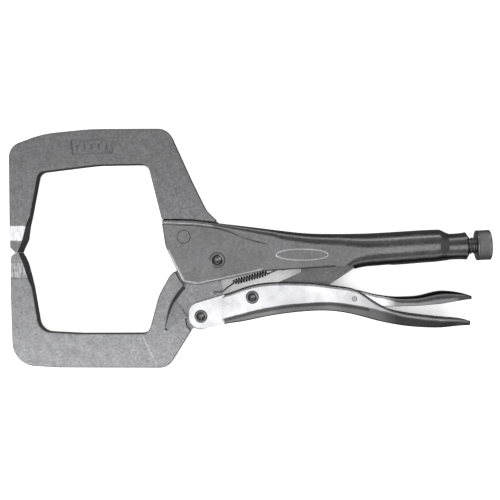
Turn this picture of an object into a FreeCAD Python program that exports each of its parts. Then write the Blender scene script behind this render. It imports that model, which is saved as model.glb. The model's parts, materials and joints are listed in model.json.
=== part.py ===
import FreeCAD, Part
import math
import os
import Sketcher

# C-clamp locking pliers, lying flat, in millimetres.
# Origin: centre of the fixed jaw's gripping face. +X runs to the adjusting knob, +Y from the moving
# jaw to the fixed jaw, +Z across the thickness. Every piece is symmetric about the plane z = 0
# except for the size panel and the spring.

from FreeCAD import Placement, Rotation, Vector

doc = FreeCAD.newDocument("locking_pliers")
sheet = doc.addObject("Spreadsheet::Sheet", "dims")

DIMENSIONS = {
    # thickness layers, full widths across Z
    "jaw_thick": 11.0,
    "web_thick": 6.0,
    "channel_gap": 6.2,
    "plate_width": 11.0,
    "ear_width": 10.6,
    "link_thick": 6.4,
    "sheet_wall": 2.4,
    "lower_wall": 2.2,
    "lever_wall": 1.6,
    # pivots
    "main_x": 115.5,
    "main_y": -4.3,
    "ear_x": 106.0,
    "ear_y": -37.0,
    "knee_x": 135.8,
    "knee_y": -25.9,
    "nose_x": 207.0,
    "nose_y": -1.2,
    "release_x": 194.8,
    "release_y": -26.7,
    "dowel_x": 96.0,
    "dowel_y": 9.1,
    "hook_x": 114.1,
    "hook_y": -22.9,
    "anchor_x": 153.5,
    "anchor_y": -9.0,
    # pivot radii and the clearance of a shaft in its hole
    "running_gap": 0.05,
    "main_shank": 3.6,
    "main_head": 4.6,
    "ear_shank": 2.9,
    "ear_head": 3.8,
    "release_shank": 1.45,
    "dowel_radius": 3.9,
    "main_hollow": 2.1,
    "ear_hollow": 1.8,
    "hollow_depth": 3.0,
    "head_rise": 0.9,
    "knee_seat": 6.2,
    "dowel_rise": 0.3,
    "release_reach": 9.5,
    "hook_hole": 1.3,
    "hub_radius": 9.3,
    "ear_web_radius": 7.7,
    "hub_clearance": 1.1,
    # adjusting screw
    "screw_tilt": 2.9,
    "screw_x": 263.2,
    "screw_y": 4.0,
    "shank_radius": 4.85,
    "knob_radius": 8.85,
    "knob_length": 8.6,
    # toggle link and spring
    "nose_radius": 4.5,
    "knee_radius": 5.4,
    "coil_radius": 2.0,
    "coil_bore": 1.15,
    "wire_radius": 0.45,
    # size panel on the fixed jaw
    "panel_depth": 0.55,
    # rounding of edges
    "forging_edge": 0.8,
    "plate_edge": 0.9,
}


# longer than any piece is across Z
THROUGH = "40"


def fill_sheet():
    for row, (alias, value) in enumerate(DIMENSIONS.items(), start=1):
        sheet.set(f"A{row}", alias)
        sheet.set(f"B{row}", str(value))
        sheet.setAlias(f"B{row}", alias)
    doc.recompute()


def dim(alias):
    return float(getattr(sheet, alias))


def new_body(label):
    body = doc.addObject("PartDesign::Body", label)
    body.Label = label
    return body


def place_sketch(body, name, role="XY_Plane", x="0", y="0", z="0"):
    """A sketch on one of the body's origin planes, moved in it by three expressions."""
    sketch = body.newObject("Sketcher::SketchObject", name)
    plane = [f for f in body.Origin.OriginFeatures if f.Role == role][0]
    sketch.AttachmentSupport = [(plane, "")]
    sketch.MapMode = "FlatFace"
    for axis, expression in (("x", x), ("y", y), ("z", z)):
        if expression != "0":
            sketch.setExpression(f"AttachmentOffset.Base.{axis}", str(expression))
    return sketch


def draw_outline(sketch, corners):
    """A closed outline through corners (x, y) or (x, y, r), where r rounds the corner."""
    points = [Vector(c[0], c[1], 0) for c in corners]
    radii = [c[2] if len(c) > 2 else 0.0 for c in corners]
    count = len(points)
    starts, ends, arcs = [], [], []
    for i, point in enumerate(points):
        if radii[i] <= 0:
            starts.append(point)
            ends.append(point)
            arcs.append(None)
            continue
        back = (points[i - 1] - point).normalize()
        ahead = (points[(i + 1) % count] - point).normalize()
        half = back.getAngle(ahead) / 2
        reach = radii[i] / math.tan(half)
        middle = (back + ahead).normalize()
        centre = point + middle * (radii[i] / math.sin(half))
        starts.append(point + back * reach)
        ends.append(point + ahead * reach)
        arcs.append(Part.Arc(starts[i], centre - middle * radii[i], ends[i]))
    for i in range(count):
        if arcs[i] is not None:
            sketch.addGeometry(arcs[i], False)
        following = starts[(i + 1) % count]
        if (following - ends[i]).Length > 1e-6:
            sketch.addGeometry(Part.LineSegment(ends[i], following), False)


def draw_circle(sketch, radius):
    """A circle at the sketch's own origin, with its radius bound to an expression."""
    sketch.addGeometry(Part.Circle(Vector(0, 0, 0), Vector(0, 0, 1), 1.0), False)
    sketch.addConstraint(Sketcher.Constraint("Coincident", 0, 3, -1, 1))
    index = sketch.addConstraint(Sketcher.Constraint("Radius", 0, 1.0))
    sketch.setExpression(f"Constraints[{index}]", radius)


def centred(body, kind, name, sketch, width):
    """A Pad or Pocket that spans an equal distance on each side of its sketch."""
    feature = body.newObject(f"PartDesign::{kind}", name)
    feature.Profile = sketch
    feature.SideType = "Symmetric"
    feature.setExpression("Length", width)
    return feature


def outline_feature(body, kind, name, corners, width):
    sketch = place_sketch(body, f"{name}_sketch")
    draw_outline(sketch, corners)
    return centred(body, kind, name, sketch, width)


def disc_feature(body, kind, name, x, y, radius, width):
    sketch = place_sketch(body, f"{name}_sketch", x=x, y=y)
    draw_circle(sketch, radius)
    return centred(body, kind, name, sketch, width)


def one_sided(body, kind, name, sketch, length, reverse=False):
    feature = body.newObject(f"PartDesign::{kind}", name)
    feature.Profile = sketch
    feature.setExpression("Length", length)
    feature.Reversed = reverse
    return feature


def loft_feature(body, kind, name, stations, section):
    """A loft along X through section(station) outlines; a station starts with its own x."""
    sketches = []
    for i, station in enumerate(stations):
        sketch = place_sketch(body, f"{name}_section_{i}", "YZ_Plane", z=station[0])
        draw_outline(sketch, section(*station[1:]))
        sketches.append(sketch)
    feature = body.newObject(f"PartDesign::{kind}", name)
    feature.Profile = sketches[0]
    feature.Sections = sketches[1:]
    return feature


def screw_axis():
    """The adjusting screw's axis: its own X, tilted in the plane z = 0."""
    tilt = Rotation(Vector(0, 0, 1), dim("screw_tilt"))
    return Placement(Vector(dim("screw_x"), dim("screw_y"), 0), tilt)


def revolve_feature(body, kind, name, corners, role="XY_Plane", axis="H_Axis", offset=None):
    """An outline on one of the origin planes, turned a full circle about one of its own axes."""
    sketch = place_sketch(body, f"{name}_sketch", role)
    if offset is not None:
        sketch.AttachmentOffset = offset
    draw_outline(sketch, corners)
    feature = body.newObject(f"PartDesign::{kind}", name)
    feature.Profile = sketch
    feature.ReferenceAxis = (sketch, [axis])
    feature.Angle = 360
    return feature


def lies_at(edge, height):
    """True for an edge that lies wholly on the plane z = height or z = -height."""
    box = edge.BoundBox
    return box.ZMax - box.ZMin < 1e-3 and abs(abs(box.ZMax) - height) < 1e-3


def round_sides(body, name, width, radius):
    """A fillet round both flat sides of the body's last feature, which spans width across Z."""
    doc.recompute()
    base = body.Tip
    height = dim(width) / 2
    edges = [f"Edge{i + 1}" for i, e in enumerate(base.Shape.Edges) if lies_at(e, height)]
    fillet = body.newObject("PartDesign::Fillet", name)
    fillet.Base = (base, edges)
    fillet.setExpression("Radius", radius)
    doc.recompute()




# ---------------------------------------------------------------- jaws

FIXED_ARM = [
    (-1.9, 0.0, 0.9), (-4.9, 3.0, 1.0), (-5.6, 61.6, 9.0), (14.0, 68.9, 60.0), (42.0, 71.7, 120.0),
    (86.9, 72.0, 9.0), (100.5, 42.0, 60.0), (109.2, 24.4, 14.0), (116.8, 17.3, 1.0),
    (99.6, 19.2, 20.0), (83.3, 19.2, 1.0), (75.2, 51.3, 5.5), (46.3, 50.8, 80.0),
    (11.8, 46.6, 4.5), (6.0, 15.6, 12.0), (5.5, 7.3, 1.5), (2.7, 1.6, 1.2), (2.4, 0.0, 0.9),
]

FIXED_TANG = [
    (83.6, 24.0), (84.4, 16.1), (86.2, 4.3, 6.0), (89.4, -1.5, 2.0), (134.0, -1.5, 1.5),
    (134.0, 11.3, 1.5), (117.6, 13.6), (117.6, 16.2, 0.6), (110.0, 22.0),
]

SIZE_PANEL = [(30.2, 65.4, 1.0), (31.4, 56.5, 1.0), (55.2, 57.5, 1.0), (54.9, 66.5, 1.0)]
PANEL_DRAFT = -58.0

MOVING_ARM = [
    (-1.9, -0.06, 0.9), (-4.5, -2.6, 1.0), (-4.3, -26.0, 60.0), (-3.0, -65.2, 14.0),
    (24.0, -66.7, 60.0), (87.1, -66.9, 9.0), (100.3, -45.5, 1.0), (97.9, -42.4, 2.0),
    (97.2, -36.9, 0.95), (85.1, -45.9, 0.95), (87.6, -28.0, 30.0), (96.6, -18.7, 0.95),
    (93.8, -15.9, 2.0), (91.0, -10.6, 0.95), (88.0, -13.3, 8.0), (81.5, -25.0, 30.0),
    (75.8, -47.0, 5.0), (36.8, -47.1, 80.0), (12.6, -45.9, 8.0), (7.2, -14.6, 12.0),
    (5.7, -7.2, 8.0), (4.6, -3.4, 2.0), (2.7, -1.2, 1.0), (2.4, -0.06, 0.9),
]

MOVING_WEB = [
    (84.0, -34.0), (91.4, -10.6, 1.0), (107.0, -1.9), (122.0, -6.0), (117.2, -15.0, 3.0),
    (118.7, -24.6, 1.5), (113.4, -34.0, 4.0), (110.0, -42.0), (102.6, -43.4), (101.0, -44.4),
    (95.0, -52.4), (84.0, -50.0),
]

# the steep slope from the rim down to the web: its outline at the web and at the rim
RIM_FOOT = [(83.4, -47.0), (86.8, -46.6), (89.2, -29.0, 29.0), (97.2, -20.9), (84.4, -31.0)]
RIM_TOP = [(82.4, -46.4), (85.0, -46.0), (87.5, -27.9, 30.0), (95.6, -19.6), (83.4, -30.4)]
RIM_LAP = 0.1
# the gentle ramp between the web and the thick heel: its top line on the plan, and its run
RAMP_START = (86.6, -44.7)
RAMP_END = (97.6, -36.6)
RAMP_RUN = 12.0

# side view of the taper on a jaw's tip, as (y, z): flat near the face, then a bevel up to the arm
FIXED_TIP = [(-1.0, 4.2), (6.7, 4.2), (15.2, 5.5), (15.2, 7.0), (-1.0, 7.0)]
MOVING_TIP = [(1.0, 4.2), (-5.6, 4.2), (-15.4, 5.5), (-15.4, 7.0), (1.0, 7.0)]
TIP_SPAN = 24.0


# three points (x, y, z) of the flat ground off the inner flank of each tip
FIXED_FLANK = [(4.3, 15.4, 5.5), (1.8, 6.7, 4.4), (5.3, 7.0, 0.4)]
MOVING_FLANK = [(4.9, -13.4, 5.3), (2.2, -5.6, 4.3), (5.3, -6.6, 0.4)]
FLANK_SIZE = 40.0


def flat_cut(body, name, corners):
    """Cuts off what lies in front of the plane through three points, on its +x side."""
    first, second, third = [Vector(*c) for c in corners]
    normal = (second - first).cross(third - first).normalize()
    if normal.x < 0:
        normal = normal * -1
    sketch = place_sketch(body, f"{name}_sketch")
    sketch.AttachmentOffset = Placement(first, Rotation(Vector(0, 0, 1), normal))
    half = FLANK_SIZE / 2
    draw_outline(sketch, [(-half, -half), (half, -half), (half, half), (-half, half)])
    feature = body.newObject("PartDesign::Pocket", name)
    feature.Profile = sketch
    feature.Length = FLANK_SIZE
    feature.Reversed = True


def taper_tip(body, outline, flank):
    for side in (1, -1):
        sketch = place_sketch(body, f"taper_{'near' if side > 0 else 'far'}", "YZ_Plane")
        draw_outline(sketch, [(y, side * z) for y, z in outline])
        pocket = body.newObject("PartDesign::Pocket", f"{sketch.Name}_cut")
        pocket.Profile = sketch
        pocket.SideType = "Symmetric"
        pocket.Length = TIP_SPAN
        flat_cut(body, f"flank_{'near' if side > 0 else 'far'}", [(x, y, side * z) for x, y, z in flank])


def make_fixed_jaw():
    body = new_body("fixed_jaw")
    outline_feature(body, "Pad", "arm", FIXED_ARM, "dims.jaw_thick")
    round_sides(body, "arm_edges", "jaw_thick", "dims.forging_edge")
    outline_feature(body, "Pad", "tang", FIXED_TANG, "dims.web_thick")
    disc_feature(body, "Pocket", "hub_room", "dims.main_x", "dims.main_y",
                 "dims.hub_radius + dims.hub_clearance", "dims.web_thick + 2")
    disc_feature(body, "Pocket", "dowel_hole", "dims.dowel_x", "dims.dowel_y",
                 "dims.dowel_radius + dims.running_gap", "dims.web_thick + 2")
    taper_tip(body, FIXED_TIP, FIXED_FLANK)
    panel = place_sketch(body, "size_panel_sketch", z="dims.jaw_thick / 2")
    draw_outline(panel, SIZE_PANEL)
    pocket = one_sided(body, "Pocket", "size_panel", panel, "dims.panel_depth")
    pocket.TaperAngle = PANEL_DRAFT


def slope_web(body):
    """Slopes between the full thickness and the thin web, on both sides of the moving jaw."""
    start, end = Vector(*RAMP_START, 0), Vector(*RAMP_END, 0)
    along = (end - start).normalize()
    across = Vector(0, 0, 1).cross(along)
    low = dim("web_thick") / 2
    high = dim("jaw_thick") / 2
    for side in (1, -1):
        label = "near" if side > 0 else "far"
        ramp = place_sketch(body, f"ramp_{label}_sketch")
        ramp.AttachmentOffset = Placement(start, Rotation(across, Vector(0, 0, 1), along, "ZXY"))
        draw_outline(ramp, [(-1.0, side * (low - 1)), (-1.0, side * high), (0.0, side * high),
                            (RAMP_RUN, side * low), (RAMP_RUN, side * (low - 1))])
        one_sided(body, "Pad", f"ramp_{label}", ramp, str((end - start).Length))
        foot = place_sketch(body, f"rim_foot_{label}", z=str(side * (low - RIM_LAP)))
        draw_outline(foot, RIM_FOOT)
        top = place_sketch(body, f"rim_top_{label}", z=str(side * (high - RIM_LAP)))
        draw_outline(top, RIM_TOP)
        slope = body.newObject("PartDesign::AdditiveLoft", f"rim_slope_{label}")
        slope.Profile = foot
        slope.Sections = [top]


def make_moving_jaw():
    body = new_body("moving_jaw")
    outline_feature(body, "Pad", "arm", MOVING_ARM, "dims.jaw_thick")
    round_sides(body, "arm_edges", "jaw_thick", "dims.forging_edge")
    outline_feature(body, "Pad", "web", MOVING_WEB, "dims.web_thick")
    disc_feature(body, "Pad", "hub", "dims.main_x", "dims.main_y", "dims.hub_radius",
                 "dims.web_thick")
    disc_feature(body, "Pad", "ear_seat", "dims.ear_x", "dims.ear_y", "dims.ear_web_radius",
                 "dims.web_thick")
    slope_web(body)
    holes = (("main", "dims.main_shank"), ("ear", "dims.ear_shank"))
    for place, radius in holes:
        disc_feature(body, "Pocket", f"{place}_hole", f"dims.{place}_x", f"dims.{place}_y",
                     f"{radius} + dims.running_gap", "dims.jaw_thick + 2")
    disc_feature(body, "Pocket", "spring_hole", "dims.hook_x", "dims.hook_y", "dims.hook_hole",
                 "dims.jaw_thick + 2")
    taper_tip(body, MOVING_TIP, MOVING_FLANK)


# ---------------------------------------------------------------- upper handle

def rounded_box(top, bottom, half_width, radius):
    """A rounded rectangle in a cross-section, drawn as (y, z)."""
    return [(bottom, -half_width, radius), (top, -half_width, radius),
            (top, half_width, radius), (bottom, half_width, radius)]


# outer stations: x, top, bottom, half width, corner radius. The sheet is flat-sided up to x = 121
# and swells from there into the round grip
TUBE = [
    (82.0, 18.6, -26.0, 5.5, 1.0), (90.0, 18.6, -26.0, 5.5, 1.0), (98.0, 18.5, -26.0, 5.5, 1.0),
    (106.0, 18.0, -25.6, 5.5, 1.2), (113.0, 17.2, -25.0, 5.5, 1.6), (121.0, 16.4, -23.8, 5.5, 2.2),
    (129.0, 15.5, -22.2, 5.9, 3.0),
    (140.3, 14.2, -20.8, 6.8, 3.8), (152.0, 12.8, -19.4, 8.0, 5.0), (169.6, 11.1, -17.2, 9.0, 6.0),
    (180.0, 10.9, -15.9, 9.4, 6.6), (187.1, 10.9, -14.4, 9.6, 7.0), (191.5, 10.95, -12.0, 9.7, 7.6),
    (195.5, 11.0, -9.9, 9.8, 8.2), (199.0, 11.1, -9.0, 9.9, 8.7), (202.5, 11.2, -8.5, 10.0, 9.0),
    (207.0, 11.4, -8.15, 10.1, 9.1), (214.0, 11.8, -7.6, 10.15, 9.2),
    (222.2, 12.3, -7.0, 10.2, 9.2), (230.0, 12.8, -6.4, 10.2, 9.2), (237.0, 13.2, -5.8, 10.2, 9.2),
    (244.4, 13.5, -5.2, 10.1, 9.1),
]
SHOULDER = [
    (244.4, 13.5, -5.2, 10.1, 9.1), (246.4, 12.8, -4.95, 9.4, 8.6), (248.4, 11.8, -4.7, 8.4, 7.9),
    (250.0, 11.3, -4.55, 7.9, 7.6),
]
CAVITY_START = 4
CAVITY_END = 243.0
TUBE_MOUTH = 118.0
# the rolled bead along the top edge, which widens into the shoulder of the grip
BEAD = [
    (83.6, 18.95, 15.7, 6.2, 1.5), (92.0, 18.95, 15.6, 6.45, 1.6), (100.0, 18.75, 15.4, 6.45, 1.6),
    (108.0, 18.05, 14.6, 6.4, 1.65), (114.0, 17.3, 13.6, 6.35, 1.7), (120.0, 16.6, 12.1, 6.4, 2.0),
    (125.5, 16.0, 9.9, 6.6, 2.5), (131.0, 15.35, 7.1, 6.9, 2.9), (138.0, 14.5, 4.4, 7.2, 3.4),
    (145.0, 13.65, 1.6, 7.5, 3.9), (150.0, 13.05, 0.0, 7.6, 4.2),
]
# all that lies outside this line is cut away: the cheeks' front and foot, then the open belly
BELLY_CUT = [
    (83.6, 25.0), (83.5, 16.0), (85.4, 3.6, 12.0), (92.4, -11.0, 20.0), (95.6, -17.6, 5.0),
    (104.2, -18.9, 8.0), (124.4, -14.7, 40.0), (140.5, -10.9, 60.0), (163.5, -9.4, 100.0),
    (184.0, -8.04), (184.0, -60.0), (70.0, -60.0), (70.0, 25.0),
]
# the rest of the open belly, where its edges are left square
TAIL_CUT = [
    (183.0, -9.2), (184.0, -7.9), (193.6, -7.4), (195.8, -9.6), (195.8, -60.0), (183.0, -60.0),
]
# plan of the slot in the tube's underside, as (x, z): wide for the link, then a seam
SEAM_SLOT = [
    (180.0, -3.9), (215.0, -3.9, 3.0), (221.0, -0.6, 3.0), (240.0, -0.6, 0.6),
    (240.0, 0.6, 0.6), (221.0, 0.6, 3.0), (215.0, 3.9, 3.0), (180.0, 3.9),
]
SPRING_TAB = [(150.8, 12.0), (150.8, -9.0, 1.2), (153.5, -11.2, 2.0), (156.2, -9.0, 1.2),
              (156.2, 12.0)]
TAB_THICK = 1.8
NECK_PROFILE = [(-15.0, 0.0), (-15.0, 7.6), (-8.0, 7.6), (-4.6, 7.8), (-2.7, 8.1), (-1.1, 5.5),
                (-1.1, 0.0)]
BORE_SPAN = (-26.0, 2.0)


BELLY_OUTER = 5.0
BELLY_TOP = 17.0
BELLY_END = 183.0


def cavity_stations():
    """The tube's stations moved inward by the sheet's thickness, up to the solid neck."""
    wall = dim("sheet_wall")
    least = dim("channel_gap") / 2 + 0.05
    inner = []
    for x, top, bottom, half, radius in TUBE[CAVITY_START:]:
        inner.append((min(x, CAVITY_END), top - wall, bottom + wall, max(half - wall, least),
                      max(radius - wall, 0.6)))
    return inner


def round_belly(body):
    """A fillet on the outer edges that the belly cut leaves, from the front down to the grip."""
    doc.recompute()
    base = body.Tip
    edges = []
    for i, edge in enumerate(base.Shape.Edges):
        box = edge.BoundBox
        outer = min(abs(box.ZMin), abs(box.ZMax)) > BELLY_OUTER and box.ZMin * box.ZMax > 0
        if outer and box.YMax < BELLY_TOP and box.XMin < BELLY_END:
            edges.append(f"Edge{i + 1}")
    fillet = body.newObject("PartDesign::Fillet", "belly_edges")
    fillet.Base = (base, edges)
    fillet.setExpression("Radius", "dims.plate_edge")
    doc.recompute()


def make_upper_handle():
    body = new_body("upper_handle")
    loft_feature(body, "AdditiveLoft", "tube", TUBE, rounded_box)
    loft_feature(body, "AdditiveLoft", "shoulder", SHOULDER, rounded_box)
    revolve_feature(body, "Revolution", "neck", NECK_PROFILE, offset=screw_axis())
    outline_feature(body, "Pocket", "belly_cut", BELLY_CUT, THROUGH)
    round_belly(body)
    outline_feature(body, "Pocket", "tail_cut", TAIL_CUT, THROUGH)
    loft_feature(body, "AdditiveLoft", "bead", BEAD, rounded_box)
    loft_feature(body, "SubtractiveLoft", "cavity", cavity_stations(), rounded_box)
    mouth = [(70, -40), (TUBE_MOUTH, -40), (TUBE_MOUTH, 30), (70, 30)]
    outline_feature(body, "Pocket", "mouth", mouth, "dims.channel_gap")
    bore_radius = dim("shank_radius") + dim("running_gap")
    bore = [(BORE_SPAN[0], 0.0), (BORE_SPAN[0], bore_radius), (BORE_SPAN[1], bore_radius),
            (BORE_SPAN[1], 0.0)]
    revolve_feature(body, "Groove", "screw_bore", bore, offset=screw_axis())
    slot = place_sketch(body, "seam_slot_sketch", "XZ_Plane")
    draw_outline(slot, SEAM_SLOT)
    one_sided(body, "Pocket", "seam_slot", slot, THROUGH, reverse=True)
    disc_feature(body, "Pocket", "main_hole", "dims.main_x", "dims.main_y",
                 "dims.main_shank + dims.running_gap", THROUGH)
    disc_feature(body, "Pocket", "dowel_hole", "dims.dowel_x", "dims.dowel_y",
                 "dims.dowel_radius + dims.running_gap", THROUGH)
    outline_feature(body, "Pad", "spring_tab", SPRING_TAB, str(TAB_THICK))
    disc_feature(body, "Pocket", "tab_hole", "dims.anchor_x", "dims.anchor_y", "dims.hook_hole",
                 str(TAB_THICK + 2))


# ---------------------------------------------------------------- lower handle and release lever

def mirrored(right):
    """A closed section from its half at +z, given as (y, z, r)."""
    return right + [(y, -z, r) for y, z, r in reversed(right)]


def open_channel(top, bottom, half_width, band, inset):
    """A U-shaped section open towards +Y, as (y, z): flat walls with well rounded upper edges, and
    below them a slanting band that runs in to a narrower floor."""
    wall = dim("lower_wall")
    depth = top - bottom - wall
    edge = min(1.7, 0.3 * depth, 0.6 * (top - bottom - band))
    soft = min(0.3, 0.2 * depth)
    inner = max(min(0.8 * inset, 0.5 * depth), soft)
    return mirrored([
        (bottom, half_width - inset, min(1.5, 0.4 * band)),
        (bottom + band, half_width, min(1.5, 0.4 * band)),
        (top, half_width, edge),
        (top, half_width - wall, soft),
        (bottom + wall, half_width - wall, inner),
    ])


# stations: x, top, bottom, half width, height and depth of the slanting band
LOWER = [
    (113.6, -26.4, -42.9, 5.2, 2.6, 1.8), (117.6, -25.1, -42.0, 5.2, 2.9, 1.9),
    (121.6, -23.8, -41.3, 5.9, 3.4, 2.2), (125.0, -22.7, -40.8, 6.1, 3.9, 2.5),
    (130.0, -20.8, -40.1, 6.1, 4.4, 2.8), (137.0, -18.8, -38.7, 6.1, 4.9, 3.0),
    (144.0, -17.7, -37.2, 6.4, 5.0, 3.1), (156.5, -17.3, -35.2, 7.5, 4.9, 3.2),
    (169.8, -17.7, -33.9, 8.4, 4.7, 3.2), (181.0, -19.0, -33.8, 9.0, 5.0, 3.3),
    (190.0, -20.1, -34.9, 9.2, 5.2, 3.4), (196.9, -21.9, -36.4, 9.3, 5.6, 3.6),
    (202.5, -25.5, -37.9, 9.4, 6.0, 3.8), (208.4, -29.3, -39.5, 9.6, 6.3, 4.0),
    (215.4, -32.8, -41.0, 9.8, 6.1, 4.2), (223.0, -34.7, -42.3, 10.0, 5.4, 4.0),
    (231.0, -35.9, -43.1, 10.0, 5.0, 3.8), (237.5, -36.7, -43.45, 10.0, 4.6, 3.6),
    (243.3, -37.35, -43.5, 9.9, 4.2, 3.2), (248.5, -37.8, -43.15, 9.7, 3.6, 2.8),
    (253.0, -38.1, -42.6, 9.3, 3.0, 2.2), (259.0, -38.8, -42.1, 8.4, 1.8, 1.4),
    (262.0, -39.5, -42.0, 7.0, 1.2, 0.9),
]
EAR = [
    (99.1, -44.0, 6.8), (99.1, -30.6, 6.0), (119.6, -24.5), (119.6, -41.6), (108.0, -44.0, 6.0),
]
EAR_END = 119.6
# between the walls, above the floor, where the moving jaw's web turns
JAW_ROOM = [(110.0, -40.5), (118.6, -39.7), (118.6, -20.0), (110.0, -20.0)]


def make_lower_handle():
    body = new_body("lower_handle")
    outline_feature(body, "Pad", "ears", EAR, "dims.ear_width")
    gap = [(90, -60), (EAR_END, -60), (EAR_END, -10), (90, -10)]
    outline_feature(body, "Pocket", "ear_gap", gap, "dims.channel_gap")
    loft_feature(body, "AdditiveLoft", "channel", LOWER, open_channel)
    outline_feature(body, "Pocket", "jaw_room", JAW_ROOM, "dims.channel_gap")
    holes = (("ear", "dims.ear_shank"), ("knee", "dims.ear_shank"),
             ("release", "dims.release_shank"))
    for place, radius in holes:
        disc_feature(body, "Pocket", f"{place}_hole", f"dims.{place}_x", f"dims.{place}_y",
                     f"{radius} + dims.running_gap", THROUGH)


def hooded_channel(top, bottom, half_width, radius):
    """A U-shaped section open towards -Y, as (y, z)."""
    wall = dim("lever_wall")
    depth = top - bottom - wall
    soft = min(0.3, 0.3 * depth)
    return mirrored([
        (top, half_width, radius),
        (bottom, half_width, 0.3),
        (bottom, half_width - wall, 0.3),
        (top - wall, half_width - wall, max(radius - wall, soft)),
    ])


# stations: x, top, bottom, half width, corner radius
LEVER = [
    (187.0, -22.0, -29.4, 5.2, 1.4), (193.0, -21.6, -30.2, 5.4, 1.5), (198.5, -22.1, -30.6, 5.5, 1.6),
    (204.0, -23.5, -30.8, 5.6, 1.6), (209.8, -24.7, -31.1, 5.8, 1.7), (215.0, -25.4, -31.2, 6.0, 2.2),
    (219.1, -25.7, -31.2, 6.2, 3.2), (226.0, -25.6, -31.0, 6.6, 4.0), (231.8, -25.2, -30.8, 6.9, 4.3),
    (237.0, -24.1, -30.4, 7.2, 4.7), (242.5, -22.7, -29.9, 7.4, 5.2), (249.2, -22.3, -29.0, 7.3, 4.9),
    (256.5, -23.2, -27.8, 6.6, 3.2), (261.0, -24.4, -27.2, 5.2, 1.2), (263.4, -25.2, -27.2, 3.8, 0.4),
]
TONGUE = [(174.6, -23.9, 0.8), (190.0, -22.1), (190.0, -24.0), (174.6, -25.9, 0.8)]
TONGUE_WIDTH = 6.0


def make_release_lever():
    body = new_body("release_lever")
    loft_feature(body, "AdditiveLoft", "hood", LEVER, hooded_channel)
    outline_feature(body, "Pad", "tongue", TONGUE, str(TONGUE_WIDTH))
    disc_feature(body, "Pocket", "release_hole", "dims.release_x", "dims.release_y",
                 "dims.release_shank + dims.running_gap", THROUGH)


# ---------------------------------------------------------------- toggle link

LINK = [
    (133.9, -21.1), (149.0, -18.4, 12.0), (165.4, -11.2, 30.0), (205.4, 2.9), (208.6, -5.2),
    (196.9, -7.8, 8.0), (179.6, -19.4, 8.0), (166.0, -23.4, 30.0), (137.6, -31.0),
]
LUG_CENTRE = (168.3, -10.4)
LUG_RADIUS = 3.8


def make_toggle_link():
    body = new_body("toggle_link")
    outline_feature(body, "Pad", "bar", LINK, "dims.link_thick")
    disc_feature(body, "Pad", "knee_end", "dims.knee_x", "dims.knee_y", "dims.knee_radius",
                 "dims.link_thick")
    disc_feature(body, "Pad", "nose", "dims.nose_x", "dims.nose_y", "dims.nose_radius",
                 "dims.link_thick")
    disc_feature(body, "Pad", "lug", str(LUG_CENTRE[0]), str(LUG_CENTRE[1]), str(LUG_RADIUS),
                 "dims.link_thick")
    disc_feature(body, "Pocket", "knee_hole", "dims.knee_x", "dims.knee_y",
                 "dims.ear_shank + dims.running_gap", "dims.link_thick + 2")


# ---------------------------------------------------------------- screw, rivets and pins

SHANK_TIP = -47.6
KNOB_START = 3.2


def make_adjusting_screw():
    """One turned piece: a blunt tip, the shank and the grip knob."""
    body = new_body("adjusting_screw")
    body.Placement = screw_axis()
    shank = dim("shank_radius")
    knob = dim("knob_radius")
    end = KNOB_START + dim("knob_length")
    revolve_feature(body, "Revolution", "turned", [
        (SHANK_TIP, 0.0), (SHANK_TIP, shank - 1.2), (SHANK_TIP + 1.6, shank), (KNOB_START, shank, 0.4),
        (KNOB_START, knob, 0.7), (end, knob, 0.8), (end, 3.6), (end - 0.8, 3.0), (end - 0.8, 0.0),
    ])


def pin_body(label, place):
    body = new_body(label)
    body.setExpression("Placement.Base.x", f"dims.{place}_x")
    body.setExpression("Placement.Base.y", f"dims.{place}_y")
    return body


def make_rivet(label, place, size, seat):
    """A rivet along Z with a head on each side of z = +-seat and a blind hollow in each head."""
    body = pin_body(label, place)
    shank = dim(f"{size}_shank")
    head = dim(f"{size}_head")
    hollow = dim(f"{size}_hollow")
    top = seat + dim("head_rise")
    floor = top - dim("hollow_depth")
    half = [(shank, seat), (head, seat), (head, top, 0.45), (hollow, top, 0.3),
            (hollow, floor), (0.0, floor)]
    lower = [(c[0], -c[1]) + tuple(c[2:]) for c in reversed(half)]
    revolve_feature(body, "Revolution", "turned", lower + half, "XZ_Plane", "V_Axis")


def make_pin(label, place, radius, half_length):
    """A plain pin along Z with eased ends."""
    body = pin_body(label, place)
    ease = 0.3
    revolve_feature(body, "Revolution", "turned", [
        (0.0, -half_length), (radius - ease, -half_length), (radius, ease - half_length),
        (radius, half_length - ease), (radius - ease, half_length), (0.0, half_length),
    ], "XZ_Plane", "V_Axis")


# ---------------------------------------------------------------- spring

# the coil's axis from end to end, and the hook wires beyond it
COIL_FRONT = (124.6, -16.6, 0.0)
COIL_REAR = (146.6, -10.9, 0.0)
FRONT_HOOK = [COIL_FRONT, (121.6, -20.0, 2.2), (119.6, -22.4, 3.6), (114.1, -22.9, 3.6),
              (114.1, -22.9, 0.0)]
REAR_HOOK = [COIL_REAR, (150.0, -10.2, 1.2), (153.5, -9.0, 1.6), (153.5, -9.0, 0.0)]


def wire_run(points, radius):
    """A round wire through points: a cylinder for each run and a ball at each joint."""
    solid = None
    for start, end in zip(points, points[1:]):
        start, end = Vector(*start), Vector(*end)
        run = Part.makeCylinder(radius, (end - start).Length, start, end - start)
        joint = Part.makeSphere(radius, end)
        piece = run.fuse(joint)
        solid = piece if solid is None else solid.fuse(piece)
    return solid


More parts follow.
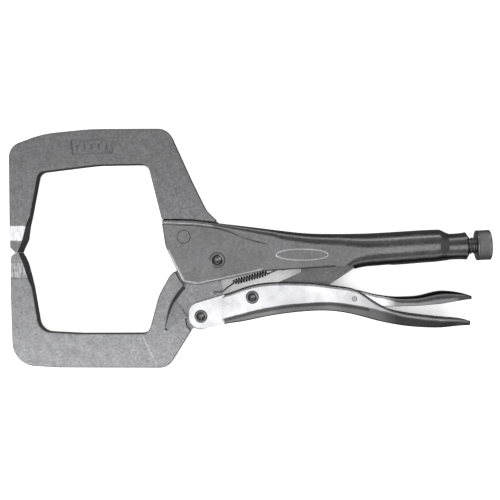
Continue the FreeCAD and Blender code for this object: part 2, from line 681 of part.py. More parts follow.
def make_jaw_spring():
    """A closed-wound tension spring: a plain sleeve for the coils and a wire hook at each end."""
    front, rear = Vector(*COIL_FRONT), Vector(*COIL_REAR)
    along = rear - front
    sleeve = Part.makeCylinder(dim("coil_radius"), along.Length, front, along)
    core = Part.makeCylinder(dim("coil_bore"), along.Length, front, along)
    radius = dim("wire_radius")
    caps = [Part.makeCylinder(dim("coil_radius"), 2 * radius, at, way)
            for at, way in ((front, along), (rear, along * -1))]
    shape = sleeve.cut(core).fuse(caps)
    shape = shape.fuse([wire_run(FRONT_HOOK, radius), wire_run(REAR_HOOK, radius)])
    spring = doc.addObject("Part::Feature", "jaw_spring")
    spring.Label = "jaw_spring"
    spring.Shape = shape.removeSplitter()


# ---------------------------------------------------------------- assembly and export

def make_all():
    make_fixed_jaw()
    make_moving_jaw()
    make_upper_handle()
    make_lower_handle()
    make_toggle_link()
    make_release_lever()
    make_adjusting_screw()
    plate = dim("plate_width") / 2
    make_rivet("main_pivot_rivet", "main", "main", plate)
    make_rivet("handle_pivot_rivet", "ear", "ear", dim("ear_width") / 2)
    make_rivet("link_rivet", "knee", "ear", dim("knee_seat"))
    make_pin("jaw_locating_rivet", "dowel", dim("dowel_radius"), plate + dim("dowel_rise"))
    make_pin("release_lever_pin", "release", dim("release_shank"), dim("release_reach"))
    make_jaw_spring()


def export_all():
    doc.recompute()
    pieces = [o for o in doc.Objects if o.TypeId == "PartDesign::Body" or o.Label == "jaw_spring"]
    for item in doc.Objects:
        if "Invalid" in item.State or "Error" in item.State:
            raise RuntimeError(f"{item.Label} did not build: {item.State}")
    for piece in pieces:
        if piece.Shape.isNull() or not piece.Shape.isValid():
            raise RuntimeError(f"{piece.Label} has no valid shape")
    os.makedirs("parts", exist_ok=True)
    for piece in pieces:
        piece.Shape.exportStep(f"parts/{piece.Label}.step")
        box = piece.Shape.BoundBox
        print(f"{piece.Label:22s} solids {len(piece.Shape.Solids)} volume {piece.Shape.Volume:9.1f}  "
              f"x {box.XMin:7.2f}..{box.XMax:7.2f}  y {box.YMin:7.2f}..{box.YMax:7.2f}  "
              f"z {box.ZMin:6.2f}..{box.ZMax:6.2f}")


fill_sheet()
make_all()
export_all()
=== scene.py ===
"""C-clamp locking pliers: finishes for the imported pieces, and the screw, spring, rivets and badge."""

import bpy
import json
import math
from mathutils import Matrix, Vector
from mathutils.bvhtree import BVHTree
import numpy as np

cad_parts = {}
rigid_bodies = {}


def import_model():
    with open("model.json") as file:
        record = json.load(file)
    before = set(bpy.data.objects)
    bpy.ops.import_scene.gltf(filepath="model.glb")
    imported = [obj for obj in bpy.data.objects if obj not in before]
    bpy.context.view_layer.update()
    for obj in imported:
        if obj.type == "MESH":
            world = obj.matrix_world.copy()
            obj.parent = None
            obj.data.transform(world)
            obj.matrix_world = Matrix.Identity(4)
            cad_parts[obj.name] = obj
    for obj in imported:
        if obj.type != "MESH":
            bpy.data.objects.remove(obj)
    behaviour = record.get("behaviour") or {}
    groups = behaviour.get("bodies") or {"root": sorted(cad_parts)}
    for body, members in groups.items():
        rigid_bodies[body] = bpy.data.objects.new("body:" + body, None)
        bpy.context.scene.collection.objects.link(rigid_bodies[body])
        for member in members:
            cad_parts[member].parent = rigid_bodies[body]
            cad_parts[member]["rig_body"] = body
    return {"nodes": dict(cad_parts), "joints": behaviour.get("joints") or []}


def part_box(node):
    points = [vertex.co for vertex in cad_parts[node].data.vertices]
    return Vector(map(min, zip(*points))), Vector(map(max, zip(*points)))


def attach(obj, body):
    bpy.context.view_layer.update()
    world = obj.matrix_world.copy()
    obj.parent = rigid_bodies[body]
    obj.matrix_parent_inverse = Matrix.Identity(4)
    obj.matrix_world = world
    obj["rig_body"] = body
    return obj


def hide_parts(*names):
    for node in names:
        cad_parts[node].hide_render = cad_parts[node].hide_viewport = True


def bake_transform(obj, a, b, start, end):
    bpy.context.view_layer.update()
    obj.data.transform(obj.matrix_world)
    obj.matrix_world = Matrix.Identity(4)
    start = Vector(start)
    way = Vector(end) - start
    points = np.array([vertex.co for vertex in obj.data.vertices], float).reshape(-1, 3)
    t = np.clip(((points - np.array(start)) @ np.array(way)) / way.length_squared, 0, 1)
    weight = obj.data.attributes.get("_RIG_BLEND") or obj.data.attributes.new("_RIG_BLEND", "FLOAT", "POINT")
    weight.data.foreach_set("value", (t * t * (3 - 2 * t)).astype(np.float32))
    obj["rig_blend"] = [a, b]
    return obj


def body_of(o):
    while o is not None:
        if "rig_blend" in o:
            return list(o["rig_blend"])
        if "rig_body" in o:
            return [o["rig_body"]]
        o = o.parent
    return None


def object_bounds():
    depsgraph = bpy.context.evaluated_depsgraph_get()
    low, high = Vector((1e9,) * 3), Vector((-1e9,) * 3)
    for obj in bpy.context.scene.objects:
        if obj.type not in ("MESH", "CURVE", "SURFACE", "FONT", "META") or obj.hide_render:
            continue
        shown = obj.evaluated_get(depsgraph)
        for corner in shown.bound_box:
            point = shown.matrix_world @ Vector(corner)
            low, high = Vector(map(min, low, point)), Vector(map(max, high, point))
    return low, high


for other in list(bpy.data.objects):
    bpy.data.objects.remove(other)

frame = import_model()
NODES = frame["nodes"]
CAD_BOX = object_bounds()

MM = 0.001


def joint(name):
    """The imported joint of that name."""
    return next(j for j in frame["joints"] if j["name"] == name)


def middle_of(node):
    """The middle of a node's box at rest."""
    low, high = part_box(node)
    return (low + high) / 2


# ---------------------------------------------------------------- mesh helpers

def new_piece(name, points, faces, body, slot, material):
    """A smooth mesh in the row frame that rides on a body and takes the material given; slot is not used."""
    mesh = bpy.data.meshes.new(name)
    mesh.from_pydata([tuple(p) for p in points], [], faces)
    mesh.validate()
    mesh.update()
    mesh.polygons.foreach_set("use_smooth", [True] * len(mesh.polygons))
    piece = bpy.data.objects.new(name, mesh)
    bpy.context.scene.collection.objects.link(piece)
    mesh.materials.append(material)
    if body is not None:
        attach(piece, body)
    return piece


def closed_grid(rows, sides):
    """The faces between rows of points, each row a ring, and the two that close the first and the last."""
    faces = []
    for i in range(rows - 1):
        low = i * sides
        for j in range(sides):
            k = (j + 1) % sides
            faces.append((low + j, low + k, low + sides + k, low + sides + j))
    last = (rows - 1) * sides
    return faces + [tuple(reversed(range(sides))), tuple(last + j for j in range(sides))]


CAP_STEPS = (0.4, 0.8, 0.98)


def tube(path, radius, sides=10):
    """Points and faces of a round wire along a path, with its ends rounded."""
    last = len(path) - 1
    rows = []
    normal = None
    for i, centre in enumerate(path):
        tangent = (path[min(i + 1, last)] - path[max(i - 1, 0)]).normalized()
        if normal is None:
            normal = tangent.orthogonal()
        normal = (normal - tangent * normal.dot(tangent)).normalized()
        rows.append((centre, tangent, normal, radius))
    def cap(row, reach):
        """A smaller row beyond an end of the wire, by a part of its radius."""
        centre, tangent, normal, size = row
        return (centre + tangent * size * reach, tangent, normal, size * math.sqrt(1 - reach * reach))

    front = [cap(rows[0], -reach) for reach in reversed(CAP_STEPS)]
    back = [cap(rows[-1], reach) for reach in CAP_STEPS]
    rows = front + rows + back
    points = []
    for centre, tangent, normal, size in rows:
        side = tangent.cross(normal)
        for j in range(sides):
            a = math.tau * j / sides
            points.append(centre + (normal * math.cos(a) + side * math.sin(a)) * size)
    return points, closed_grid(len(rows), sides)


def smooth_path(corners, steps=8, closed=False):
    """A curve through the corners, each span cut into steps."""
    count = len(corners)
    spans = count if closed else count - 1
    path = []
    for i in range(spans):
        if closed:
            a, b, c, d = (corners[(i + k) % count] for k in (-1, 0, 1, 2))
        else:
            a, b, c, d = (corners[min(max(i + k, 0), count - 1)] for k in (-1, 0, 1, 2))
        for k in range(steps):
            t = k / steps
            path.append(0.5 * ((2 * b) + (c - a) * t + (2 * a - 5 * b + 4 * c - d) * t ** 2
                               + (3 * b - a - 3 * c + d) * t ** 3))
    path.append(path[0].copy() if closed else corners[-1].copy())
    return path


def turned(profile, place, sides=56):
    """Points and faces of a profile of (radius, height) turned about a line along Z through place."""
    points = []
    for radius, height in profile:
        for j in range(sides):
            a = math.tau * j / sides
            points.append(place + Vector((radius * math.cos(a), radius * math.sin(a), height)))
    return points, closed_grid(len(profile), sides)


# ---------------------------------------------------------------- materials

class Nodes:
    """A short way to write a material's node tree."""

    def __init__(self, name):
        self.material = bpy.data.materials.new(name)
        self.material.use_nodes = True
        self.tree = self.material.node_tree
        self.shader = self.tree.nodes["Principled BSDF"]
        place = self.tree.nodes.new("ShaderNodeTexCoord")
        self.place = place.outputs["Object"]
        self.facing = place.outputs["Normal"]

    def add(self, kind, **inputs):
        """A new node; an input named with _ for each space takes a value or another node's socket."""
        node = self.tree.nodes.new(kind)
        for key, value in inputs.items():
            self.put(node, key, value)
        return node

    def put(self, node, key, value):
        socket = node.inputs[key] if isinstance(key, int) else node.inputs[key.replace("_", " ")]
        if isinstance(value, bpy.types.NodeSocket):
            self.tree.links.new(value, socket)
        else:
            socket.default_value = value

    def math(self, operation, first, second=0.0):
        node = self.add("ShaderNodeMath")
        node.operation = operation
        self.put(node, 0, first)
        self.put(node, 1, second)
        return node.outputs[0]

    def product(self, *values):
        total = values[0]
        for value in values[1:]:
            total = self.math("MULTIPLY", total, value)
        return total

    def noise(self, size, detail=3.0, roughness=0.55, stretch=None, distortion=0.0):
        """Noise from 0 to 1 with features of about that size in metres; stretch scales its axes."""
        place = self.place
        if stretch is not None:
            mapping = self.add("ShaderNodeMapping", Vector=place)
            mapping.inputs["Scale"].default_value = stretch
            place = mapping.outputs[0]
        node = self.add("ShaderNodeTexNoise", Vector=place, Scale=1 / size, Detail=detail,
                        Roughness=roughness, Distortion=distortion)
        return node.outputs[0]

    def ramp(self, value, low, high, out_low=0.0, out_high=1.0):
        """Maps low..high to out_low..out_high and holds the ends."""
        node = self.add("ShaderNodeMapRange")
        node.clamp = True
        for key, number in ((1, low), (2, high), (3, out_low), (4, out_high)):
            self.put(node, key, number)
        self.put(node, 0, value)
        return node.outputs[0]

    def mix(self, factor, first, second):
        node = self.add("ShaderNodeMix")
        node.data_type = "FLOAT"
        self.put(node, 0, factor)
        self.put(node, 2, first)
        self.put(node, 3, second)
        return node.outputs[0]

    def grey(self, value):
        """A neutral colour from one value, very slightly cool as plated steel is."""
        node = self.add("ShaderNodeCombineColor", Red=value, Green=value,
                        Blue=self.math("MULTIPLY", value, 1.02))
        return node.outputs[0]

    def vary(self, noise, depth, spread=0.2):
        """A factor that follows the noise from 1 - depth to 1 + depth."""
        return self.ramp(noise, 0.5 - spread, 0.5 + spread, 1 - depth, 1 + depth)

    def axis(self, index, of=None):
        """One coordinate of the point shaded, or of another vector."""
        node = self.add("ShaderNodeSeparateXYZ", Vector=of or self.place)
        return node.outputs[index]

    def between(self, value, low, high, soft):
        """1 where value lies between low and high, with soft edges."""
        return self.product(self.ramp(value, low - soft, low + soft),
                            self.ramp(value, high + soft, high - soft))

    def line(self, start, end, width):
        """1 on a line of that width on the plan, from start to end in metres, and 0 away from it."""
        start, end = Vector(start), Vector(end)
        along = (end - start).normalized()
        x, y = self.axis(0), self.axis(1)
        dx = self.math("SUBTRACT", x, start.x)
        dy = self.math("SUBTRACT", y, start.y)
        run = self.math("ADD", self.product(dx, along.x), self.product(dy, along.y))
        aside = self.math("SUBTRACT", self.product(dy, along.x), self.product(dx, along.y))
        off = self.math("ABSOLUTE", aside)
        half = 0.5 * width
        return self.product(self.ramp(off, 0.6 * width, 0.35 * width),
                            self.between(run, -half, (end - start).length + half, half))

    def trail(self, corners, width):
        """1 along a run of such lines and 0 away from it."""
        total = 0.0
        for start, end in zip(corners, corners[1:]):
            total = self.math("MAXIMUM", total, self.line(start, end, width))
        return total

    def bump(self, height, distance, strength):
        """The normal of a surface raised by height, from 0 to 1, times a distance in metres."""
        node = self.add("ShaderNodeBump", Height=height, Distance=distance, Strength=strength)
        return node.outputs[0]

    def finish(self, base, roughness, normal):
        """Sets the metal's shader and gives the material."""
        self.put(self.shader, "Base Color", base)
        self.put(self.shader, "Roughness", roughness)
        self.put(self.shader, "Normal", normal)
        self.shader.inputs["Metallic"].default_value = 1.0
        return self.material


def plan(x, y):
    """A place on the plan in metres, from millimetres."""
    return (x * MM, y * MM)


# the forgings: the value kept on the steep sides, which are darkened as painted shade, and the ragged and soft
# border of the ground flats
STEEP_SIDE_SHADE = 0.42
BAND_RAGGED = 1.2 * MM
BAND_SOFT = 0.25 * MM
BAND_ROUGHNESS = 0.36
# y from, y to and x to of the ground flats on the two tips, and the jaws' values at two heights
FIXED_BAND = (6.9 * MM, 15.4 * MM, 6.0 * MM)
MOVING_BAND = (-14.6 * MM, -6.2 * MM, 6.0 * MM)
FIXED_TONE = ((10 * MM, 0.325), (70 * MM, 0.262))
MOVING_TONE = ((-62 * MM, 0.505), (-25 * MM, 0.395))
# a faint painted highlight along a crease of the moving jaw, as (start, end, width)
MOVING_CREASE_HIGHLIGHT = (plan(72.8, -49.5), plan(80.1, -64.8), 0.9 * MM)
# painted highlights on the upper handle: along the ridge of its bead, and along the rim of its cheek
BEAD_RIDGE_HIGHLIGHT = [(84.5, 17.3), (95.0, 17.2), (104.0, 16.7), (112.0, 15.7)]
CHEEK_EDGE_HIGHLIGHT = [(87.2, 0.4), (92.9, -10.9), (96.2, -16.9), (104.3, -18.3), (124.4, -14.1), (140.5, -10.3)]
# painted shade: a dark line along the top of the lower handle's slanting band
BAND_CREASE_SHADE = [(119.8, -39.0), (125.0, -37.7), (137.0, -34.6), (156.5, -31.1), (169.8, -30.0),
               (181.0, -29.6), (196.9, -31.6), (202.5, -32.7)]


def forged(name, tone, band, ground, crease=None):
    """Blasted and plated forging: a fine pitted grain, mottled, with painted shade that darkens the steep
    sides. tone is its value along the jaw as ((y, value), (y, value)). band is (y from, y to, x to) of the
    ground flats on the tip, which have grinding lines along Y, and ground is their darkest and brightest
    value. crease is the (start, end, width) of a faint painted highlight along a crease."""
    n = Nodes(name)
    (y_low, low_value), (y_high, high_value) = tone
    y = n.axis(1)
    value = n.ramp(y, y_low, y_high, low_value, high_value)
    flat = n.ramp(n.math("ABSOLUTE", n.axis(2, n.facing)), 0.60, 0.90)
    mottle = n.noise(5.0 * MM, 4.0, 0.6)
    grain = n.noise(1.3 * MM, 3.0, 0.7)
    pits = n.noise(0.5 * MM, 2.0, 0.6)
    # painted shade: the value falls on the steep sides, which lean away from Z
    base = n.product(value, n.vary(mottle, 0.12), n.ramp(grain, 0.32, 0.68, 0.82, 1.20),
                     n.mix(flat, STEEP_SIDE_SHADE, 1.0))
    rough = n.ramp(grain, 0.3, 0.7, 0.60, 0.46)
    low, high, reach = band
    jitter = n.product(n.math("SUBTRACT", n.noise(1.5 * MM), 0.5), BAND_RAGGED)
    inside = n.product(n.between(n.math("ADD", y, jitter), low, high, BAND_SOFT),
                       n.ramp(n.axis(0), reach + BAND_SOFT, reach - BAND_SOFT), flat)
    streak = n.noise(0.9 * MM, 2.0, 0.5, stretch=(1.0, 0.12, 1.0))
    base = n.mix(inside, base, n.ramp(streak, 0.38, 0.55, ground[0], ground[1]))
    rough = n.mix(inside, rough, BAND_ROUGHNESS)
    height = n.product(n.math("ADD", grain, n.product(pits, 0.6)), n.mix(inside, 1.0, 0.1))
    # painted highlight: the value is raised along the crease's line
    if crease is not None:
        crease_highlight = n.line(*crease)
        base = n.product(base, n.ramp(crease_highlight, 0.0, 1.0, 1.0, 1.25))
    return n.finish(n.grey(base), rough, n.bump(height, 0.10 * MM, 0.7))


def sheet_steel(name, value, rough_low, rough_high, grain_size=0.8, grain=0.10, cloud=0.12, bump=0.03,
                lean_shade=None, fade=None, painted_lines=None):
    """Plated sheet steel: cloudy tone, fine grain, and roughness that follows the clouds. grain_size and
    bump are in millimetres; grain and cloud are how far they vary the value. lean_shade is painted shade
    that darkens the faces leaning away from Z, as (|normal z| where dark, |normal z| where bright, value kept).
    fade is painted shade that darkens the end of a handle, as (x where it starts, x where it ends, value kept).
    painted_lines are painted highlights and painted shade along lines on the plan, as (width, the value's gain,
    runs of corners)."""
    n = Nodes(name)
    clouds = n.noise(9.0 * MM, 4.0, 0.6, distortion=0.4)
    fine = n.noise(grain_size * MM, 3.0, 0.6)
    broad = n.noise(26.0 * MM, 2.0, 0.5)
    base = n.product(value, n.vary(broad, cloud, 0.15), n.vary(clouds, cloud), n.vary(fine, grain))
    # painted shade: faces that lean away from Z are made darker
    if lean_shade is not None:
        dark, bright, kept = lean_shade
        lean = n.math("ABSOLUTE", n.axis(2, n.facing))
        base = n.product(base, n.ramp(lean, dark, bright, kept, 1.0))
    # painted shade: the value falls towards the end of the handle
    if fade is not None:
        start, end, kept = fade
        base = n.product(base, n.ramp(n.axis(0), start, end, 1.0, kept))
    # painted highlights and painted shade: the value is raised or lowered along lines on the plan
    if painted_lines is not None:
        width, gain, runs = painted_lines
        for run in runs:
            painted_line = n.trail([plan(*corner) for corner in run], width)
            base = n.product(base, n.mix(painted_line, 1.0, gain))
    rough = n.ramp(clouds, 0.3, 0.7, rough_low, rough_high)
    return n.finish(n.grey(base), rough, n.bump(fine, bump * MM, 0.6))


def make_materials():
    """Every finish, by name: those of the record's slots, and two that single pieces have."""
    return {
        # handle_steel gets painted highlights along the ridge of the bead and the rim of the cheek
        "handle_steel": sheet_steel(
            "handle_steel", 0.192, 0.20, 0.31, grain_size=1.6, grain=0.17, cloud=0.10, bump=0.05,
            painted_lines=(1.8 * MM, 2.3, (BEAD_RIDGE_HIGHLIGHT, CHEEK_EDGE_HIGHLIGHT))),
        # the badge's steel is painted far brighter than the handle's, a painted highlight on its raised ring
        "badge_steel": sheet_steel("badge_steel", 0.80, 0.22, 0.32),
        "fixed_forging": forged("fixed_forging", FIXED_TONE, FIXED_BAND, (0.74, 0.92)),
        "moving_forging": forged("moving_forging", MOVING_TONE, MOVING_BAND, (0.38, 0.93), MOVING_CREASE_HIGHLIGHT),
        # polished_steel and lever_steel get painted shade where faces lean away from Z and towards the handle's
        # end
        "polished_steel": sheet_steel(
            "polished_steel", 0.73, 0.20, 0.32, grain=0.04, cloud=0.18, lean_shade=(0.80, 0.93, 0.22),
            fade=(198 * MM, 222 * MM, 0.44), painted_lines=(2.2 * MM, 0.42, (BAND_CREASE_SHADE,))),
        "link_steel": sheet_steel(
            "link_steel", 0.225, 0.42, 0.55, grain_size=1.4, grain=0.20, cloud=0.14, bump=0.06),
        "lever_steel": sheet_steel(
            "lever_steel", 0.95, 0.20, 0.30, lean_shade=(0.70, 0.90, 0.13), fade=(212 * MM, 219 * MM, 0.27)),
        "screw_steel": sheet_steel("screw_steel", 0.285, 0.26, 0.38),
        "rivet_steel": sheet_steel("rivet_steel", 0.20, 0.20, 0.30),
        "spring_steel": sheet_steel("spring_steel", 0.20, 0.28, 0.40),
        "pin_steel": sheet_steel("pin_steel", 0.50, 0.30, 0.42),
    }


# nodes whose finish is not the one of their slot
OWN_FINISH = {"release_lever_pin": "pin_steel"}


def dress_nodes(materials):
    """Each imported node's material slots get the finish of the same name, or the node's own."""
    for name, node in NODES.items():
        for slot in node.material_slots:
            finish = OWN_FINISH.get(name, slot.material.name.split(".")[0])
            slot.material = materials[finish]


# ---------------------------------------------------------------- adjusting screw

# distances along the screw's axis and radii from it, in millimetres
SCREW_START = Vector((263.2, 4.0, 0.0)) * MM
SHANK_TIP = -47.6
KNOB_FACE = 3.2
KNOB_END = 11.8
SHANK_RADIUS = 4.82
THREAD_PITCH = 2.1
THREAD_DEPTH = 0.85
THREAD_STEP = 0.21
THREAD_SIDES = 48
KNOB_RADIUS = 8.83
KNURLS = 30
KNURL_LENGTH = 1.9
KNURL_DEPTH = 0.38
KNURL_SPAN = (4.2, 10.6)
KNURL_FADE = 0.5
POINT = 0.02
# each as (distance, radius): the shank's chamfered tip, from its end, and its foot inside the knob;
# the knob's face towards the handle, from that face; its rim after the knurl; and its rounded and
# hollowed back, from its end
TIP_PROFILE = ((0.0, POINT), (0.0, 3.2), (0.7, 3.75))
FOOT_PROFILE = ((0.5, 3.9), (0.5, POINT))
FACE_PROFILE = ((0.2, POINT), (0.2, 3.6), (0.0, 4.2), (0.0, 7.9), (0.1, 8.4), (0.35, 8.72),
                (0.7, KNOB_RADIUS))
RIM_PROFILE = ((0.1, KNOB_RADIUS), (0.45, KNOB_RADIUS), (0.75, 8.68))
BACK_PROFILE = ((-0.12, 8.2), (0.0, 7.7), (0.0, 3.8), (-0.15, 3.5), (-0.7, 3.1), (-0.8, 2.8),
                (-0.8, POINT))


def along_screw(rows, sides):
    """Points of rows (distance along the axis, function of the angle giving the radius)."""
    axis = Vector(joint("screw_travel")["axis"]).normalized()
    side = Vector((0, 0, 1)).cross(axis)
    up = Vector((0, 0, 1))
    points = []
    for distance, radius in rows:
        for j in range(sides):
            a = math.tau * j / sides
            spoke = side * math.cos(a) + up * math.sin(a)
            points.append(SCREW_START + (axis * distance + spoke * radius(a)) * MM)
    return points


def triangle_wave(t):
    """0 at whole numbers and 1 half way between."""
    return 1 - abs(2 * (t - math.floor(t)) - 1)


def round_rows(start, profile):
    """Rows of a round profile of (distance from start, radius)."""
    return [(start + distance, lambda a, radius=radius: radius) for distance, radius in profile]


def thread_at(distance):
    """The radius round a section of the thread, with narrow crests and rounded roots."""
    def radius(a):
        turn = triangle_wave(distance / THREAD_PITCH - a / math.tau)
        return SHANK_RADIUS - THREAD_DEPTH * (1 - min(1.0, 1.25 * turn)) ** 1.2
    return radius


def knurl_at(distance):
    """The radius round a section of the diamond knurl, which fades out at its two ends."""
    low, high = KNURL_SPAN
    fade = min(1.0, (distance - low) / KNURL_FADE, (high - distance) / KNURL_FADE)
    def radius(a):
        turn = KNURLS * a / math.tau
        one = triangle_wave(turn + distance / KNURL_LENGTH)
        two = triangle_wave(turn - distance / KNURL_LENGTH)
        return KNOB_RADIUS - KNURL_DEPTH * max(0.0, fade) * (1 - min(one, two))
    return radius


def screw_piece(name, rows, sides, material):
    """A closed piece of the screw, made of rows along its axis."""
    return new_piece(name, along_screw(rows, sides), closed_grid(len(rows), sides), "adjusting_screw",
                     "screw_steel", material)


def make_screw(materials):
    """The threaded shank and the knurled knob of the adjusting screw."""
    thread = []
    distance = SHANK_TIP + 1.2
    while distance < KNOB_FACE + 0.3:
        thread.append((distance, thread_at(distance)))
        distance += THREAD_STEP
    rows = round_rows(SHANK_TIP, TIP_PROFILE) + thread + round_rows(KNOB_FACE, FOOT_PROFILE)
    shank = screw_piece("screw_thread", rows, THREAD_SIDES, materials["screw_steel"])
    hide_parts("adjusting_screw")

    low, high = KNURL_SPAN
    steps = round((high - low) / (KNURL_LENGTH / 8))
    distances = [low + (high - low) * i / steps for i in range(steps + 1)]
    knurl = [(distance, knurl_at(distance)) for distance in distances]
    face = round_rows(KNOB_FACE, FACE_PROFILE) + round_rows(low, [(-0.1, KNOB_RADIUS)])
    back = round_rows(high, RIM_PROFILE) + round_rows(KNOB_END, BACK_PROFILE)
    screw_piece("screw_knob", face + knurl + back, KNURLS * 8, materials["screw_steel"])


# ---------------------------------------------------------------- spring and rivets

COIL_FRONT = Vector((124.6, -17.4, 0.0))
COIL_REAR = Vector((144.9, -11.8, 0.0))
COIL_TURNS = 13
COIL_STEPS = 20
COIL_RADIUS = 1.52
COIL_TURNED = -2.4
# the part of its radius that the coil starts from at each end, and how fast it widens from there
COIL_NECK = 0.55
COIL_FLARE = 3.2
WIRE = 0.44
# the wire's way through the moving jaw's hole to the coil, and from the coil to the handle's tab
FRONT_HOOK = ((114.1, -22.9, -2.4), (114.1, -22.9, 0.0), (114.2, -22.9, 3.0), (115.6, -22.9, 3.7),
              (118.6, -22.5, 3.6), (121.0, -20.6, 2.6))
REAR_HOOK = ((150.2, -10.1, 1.2), (152.8, -9.2, 1.9), (153.5, -9.0, 1.1), (153.5, -9.0, -1.2))


def make_spring(materials):
    """The tension spring: hooks in the moving jaw and in the tab of the handle, and a wound coil."""
    axis = (COIL_REAR - COIL_FRONT).normalized()
    side = Vector((0, 0, 1)).cross(axis)
    up = Vector((0, 0, 1))
    length = (COIL_REAR - COIL_FRONT).length
    coil = []
    steps = COIL_TURNS * COIL_STEPS
    for i in range(steps + 1):
        t = i / steps
        a = math.tau * COIL_TURNS * t + COIL_TURNED
        radius = COIL_RADIUS * min(1.0, COIL_NECK + COIL_FLARE * t, COIL_NECK + COIL_FLARE * (1 - t))
        coil.append(COIL_FRONT + axis * (length * t) + (side * math.cos(a) + up * math.sin(a)) * radius)
    front = smooth_path([Vector(p) for p in FRONT_HOOK] + [coil[0]], 6)[:-1]
    rear = smooth_path([coil[-1]] + [Vector(p) for p in REAR_HOOK], 6)[1:]
    points, faces = tube([p * MM for p in front + coil + rear], WIRE * MM)
    spring = new_piece("tension_spring", points, faces, None, "spring_steel", materials["spring_steel"])
    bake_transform(spring, "frame", "moving_jaw", tuple((COIL_REAR + axis) * MM), tuple((COIL_FRONT - axis) * MM))
    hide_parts("jaw_spring")


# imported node, new piece, radius of the head, radius of its hollow, height where the head sits
RIVETS = (
    ("main_pivot_rivet", "rivet_main", 4.6, 2.6, 5.5),
    ("handle_pivot_rivet", "rivet_ear", 3.8, 2.1, 5.3),
    ("link_rivet", "rivet_knee", 3.8, 2.1, 6.2),
)
HEAD_RISE = 0.9
DISH_TOP = 0.3
DISH_DEPTH = 1.25


def rivet_profile(head, hollow, seat):
    """The rolled head of a hollow rivet, from its foot on the sheet over the rim into a round dish."""
    rim = [(head - 0.9, -0.3), (head - 0.35, 0.0), (head - 0.1, 0.12), (head, 0.34), (head - 0.06, 0.56),
           (head - 0.26, 0.76), (head - 0.6, 0.88), (head - 0.95, HEAD_RISE)]
    lip = hollow + 0.25
    rim += [(lip + 0.3, 0.82), (lip, 0.62), (hollow, DISH_TOP)]
    dish = [(hollow * math.cos(a), DISH_TOP - DISH_DEPTH * math.sin(a))
            for a in (0.2, 0.45, 0.7, 0.95, 1.2, 1.4)]
    dish.append((POINT, DISH_TOP - DISH_DEPTH))
    return [(radius * MM, (seat + height) * MM) for radius, height in rim + dish]


def make_rivets(materials):
    """The three rivets, with the same head on both sides."""
    for node, name, head, hollow, seat in RIVETS:
        upper = rivet_profile(head, hollow, seat)
        lower = [(radius, -height) for radius, height in reversed(upper)]
        place = middle_of(node)
        place.z = 0
        points, faces = turned(lower + upper, place)
        body = body_of(NODES[node])[0]
        rivet = new_piece(name, points, faces, body, "rivet_steel", materials["rivet_steel"])
        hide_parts(node)


# ---------------------------------------------------------------- raised badge and size bars

# all in millimetres: the bead's radius and how deep its middle line lies under the surface
BADGE_WIRE = 0.36
BADGE_SINK = 0.12
BADGE_CENTRE = (164.6, -1.2)
# a plain oval ring about the badge's centre; it has nothing inside
RING = [(15.0 * math.cos(math.tau * k / 24), 3.2 * math.sin(math.tau * k / 24)) for k in range(24)]
# centre x and y, half width and half height of the plain bars in the size panel
SIZE_BARS = [(34.0 + 4.2 * k, 60.7 + 0.25 * k, 0.5, 1.9) for k in range(5)]
GRAIN_RISE = 0.42
GRAIN_FOOT = 0.15
GRAIN_RINGS = 6
GRAIN_SIDES = 24


def surface_under(node):
    """A function that gives the point of a node's upper side above (x, y), in metres."""
    tree = BVHTree.FromObject(NODES[node], bpy.context.evaluated_depsgraph_get())

    def touch(x, y):
        hit = tree.ray_cast(Vector((x, y, 0.05)), Vector((0, 0, -1)))[0]
        if hit is None:
            raise RuntimeError(f"nothing of {node} under {x}, {y}")
        return hit
    return touch


def laid_wire(touch, corners, closed=False):
    """A round bead that follows a line on the surface and is partly sunk in it."""
    flat = smooth_path([Vector((x, y, 0)) for x, y in corners], 6, closed)
    path = [touch(p.x * MM, p.y * MM) - Vector((0, 0, BADGE_SINK * MM)) for p in flat]
    return tube(path, BADGE_WIRE * MM, 8)


def grain(touch, x, y, half_width, half_height):
    """A low dome on the surface, with its foot sunk in it."""
    points = []
    for i in range(GRAIN_RINGS + 1):
        slope = 0.5 * math.pi * i / GRAIN_RINGS
        reach = math.cos(slope) + 0.01
        lift = GRAIN_RISE * math.sin(slope) - (GRAIN_FOOT if i == 0 else 0)
        for j in range(GRAIN_SIDES):
            a = math.tau * j / GRAIN_SIDES
            px = x + half_width * reach * math.cos(a)
            py = y + half_height * reach * math.sin(a)
            points.append(touch(px * MM, py * MM) + Vector((0, 0, lift * MM)))
    return points, closed_grid(GRAIN_RINGS + 1, GRAIN_SIDES)


def joined(parts):
    """One list of points and one of faces from several such pairs."""
    points, faces = [], []
    for some_points, some_faces in parts:
        start = len(points)
        points += some_points
        faces += [tuple(start + k for k in face) for face in some_faces]
    return points, faces


def make_badge(materials):
    """A plain raised ring on the near side of the upper handle, and bars in the size panel."""
    touch = surface_under("upper_handle")
    cx, cy = BADGE_CENTRE
    ring = laid_wire(touch, [(cx + x, cy + y) for x, y in RING], True)
    new_piece("handle_badge", *ring, "frame", "handle_steel", materials["badge_steel"])
    touch = surface_under("fixed_jaw")
    bars = joined([grain(touch, *g) for g in SIZE_BARS])
    new_piece("size_bars", *bars, "frame", "fixed_forging", materials["fixed_forging"])


# ---------------------------------------------------------------- camera, light and floor

CAMERA_PLACE = Vector((134.5, 1.5, 705.5)) * MM
SENSOR = 36.0
FOCAL = 86.9
# the sky's brightness at the floor and overhead, and between the two heights of its brighter band
SKY_DIM = 0.15
SKY_BRIGHT = 0.34
SKY_BAND = (0.35, 0.80)
FLOOR_REACH = 12.0
# how far round a point of the floor its openness is felt, and the glow where it is shut in and open; the lower
# glow in the gaps is painted shade
GAP_REACH = 22 * MM
GAP_OPENNESS = (0.16, 0.38)
FLOOR_GLOW = (0.20, 0.88)
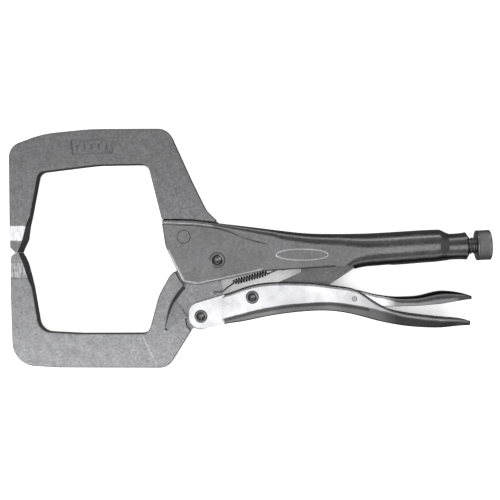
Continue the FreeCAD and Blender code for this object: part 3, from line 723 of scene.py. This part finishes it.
# name, place from the object's middle, width and height, power
LIGHTS = (
    ("overhead", (0, -0.19, 1.3), (1.4, 0.84), 4.1),
    ("far_side", (0, 0.9, 0.34), (1.6, 0.26), 1.9),
    ("left_side", (-0.8, -0.5, 0.55), (0.9, 0.8), 3.8),
    ("near_side", (0.1, -0.95, 0.32), (1.6, 0.28), 0.8),
)


def add_light(name, place, aim, size, power):
    """A rectangular light that faces aim."""
    light = bpy.data.lights.new(name, "AREA")
    light.shape = "RECTANGLE"
    light.size, light.size_y = size
    light.energy = power
    lamp = bpy.data.objects.new(name, light)
    bpy.context.scene.collection.objects.link(lamp)
    lamp.location = place
    lamp.rotation_mode = "QUATERNION"
    lamp.rotation_quaternion = (aim - place).to_track_quat("-Z", "Y")


def add_floor(low, centre):
    """White paper under the pliers, with painted shade that dims its glow in the narrow gaps between the pieces.
    """
    mesh = bpy.data.meshes.new("floor")
    corners = [(centre.x + sx * FLOOR_REACH, centre.y + sy * FLOOR_REACH, low.z)
               for sx, sy in ((-1, -1), (1, -1), (1, 1), (-1, 1))]
    mesh.from_pydata(corners, [], [(0, 1, 2, 3)])
    floor = bpy.data.objects.new("floor", mesh)
    bpy.context.scene.collection.objects.link(floor)
    pale = Nodes("floor_white")
    pale.shader.inputs["Base Color"].default_value = (0.9, 0.9, 0.9, 1)
    pale.shader.inputs["Roughness"].default_value = 0.9
    pale.shader.inputs["Emission Color"].default_value = (1, 1, 1, 1)
    # painted shade: the floor's glow is lowered where the pieces close it in
    open_sky = pale.add("ShaderNodeAmbientOcclusion", Distance=GAP_REACH)
    open_sky.samples = 12
    glow = pale.ramp(open_sky.outputs["AO"], *GAP_OPENNESS, *FLOOR_GLOW)
    pale.put(pale.shader, "Emission Strength", glow)
    mesh.materials.append(pale.material)
    floor.visible_glossy = False


def studio_sky():
    """A dim white studio, brighter half way up its walls than at the floor and overhead."""
    world = bpy.data.worlds.new("studio")
    world.use_nodes = True
    tree = world.node_tree
    place = tree.nodes.new("ShaderNodeTexCoord")
    height = tree.nodes.new("ShaderNodeSeparateXYZ")
    glow = tree.nodes.new("ShaderNodeValToRGB")
    tree.links.new(place.outputs["Generated"], height.inputs[0])
    tree.links.new(height.outputs["Z"], glow.inputs["Fac"])
    for end in glow.color_ramp.elements:
        end.color = (SKY_DIM, SKY_DIM, SKY_DIM, 1)
    for level in SKY_BAND:
        glow.color_ramp.elements.new(level).color = (SKY_BRIGHT, SKY_BRIGHT, SKY_BRIGHT, 1)
    tree.links.new(glow.outputs["Color"], tree.nodes["Background"].inputs["Color"])
    return world


def stage_scene():
    """The camera straight above, the sky, the floor and the lights."""
    scene = bpy.context.scene
    scene.view_settings.view_transform = "Standard"
    camera = bpy.data.objects.new("camera", bpy.data.cameras.new("camera"))
    scene.collection.objects.link(camera)
    camera.location = CAMERA_PLACE
    camera.data.sensor_width = SENSOR
    camera.data.lens = FOCAL
    camera.data.clip_start = 0.01
    scene.camera = camera
    scene.world = studio_sky()

    low, high = CAD_BOX
    centre = (low + high) / 2
    add_floor(low, centre)
    middle = Vector((centre.x, centre.y, 0))
    for name, place, size, power in LIGHTS:
        add_light(name, middle + Vector(place), middle, size, power)


materials = make_materials()
dress_nodes(materials)
make_screw(materials)
make_spring(materials)
make_rivets(materials)
make_badge(materials)
stage_scene()
